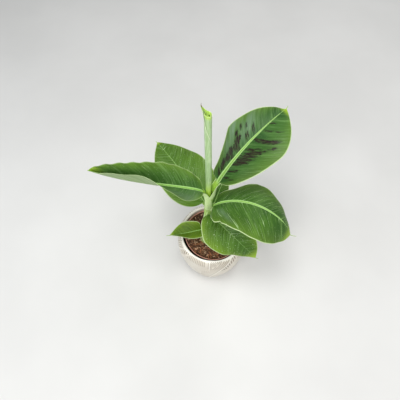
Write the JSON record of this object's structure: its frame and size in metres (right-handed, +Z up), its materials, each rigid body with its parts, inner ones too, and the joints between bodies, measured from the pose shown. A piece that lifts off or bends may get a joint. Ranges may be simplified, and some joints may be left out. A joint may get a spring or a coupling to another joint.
{
  "type": "potted banana plant",
  "caption": "Young banana plant with a rolled new leaf and broad arching leaves on a short false stem, in a round ceramic cover pot with leaves in relief",
  "frame": {"origin": "middle of the cover pot's flat underside", "axes": "+Z up, along the plant's height; -Y towards the side that the picture is taken from; +X to the right of that view"},
  "size_m": [0.3673, 0.2404, 0.4744],
  "materials": {
    "glazed_pot": "satin off-white glaze",
    "inner_pot": "matt terracotta-coloured plastic",
    "potting_mix": "loose coir and bark",
    "green_stem": "smooth pale green leaf sheaths",
    "rolled_leaf": "pale green leaf with a waxy bloom",
    "leaf": "satin green leaf with a pale midrib"
  },
  "bodies": {
    "root": {"cover_pot": "glazed_pot", "grower_pot": "inner_pot", "potting_soil": "potting_mix", "pseudostem": "green_stem", "spear_leaf": "rolled_leaf", "leaf_back_right": "leaf", "leaf_left": "leaf", "leaf_right": "leaf", "leaf_back_left": "leaf", "leaf_front": "leaf", "leaf_small_back": "leaf", "leaf_small_left": "leaf"}
  },
  "joints": []
}
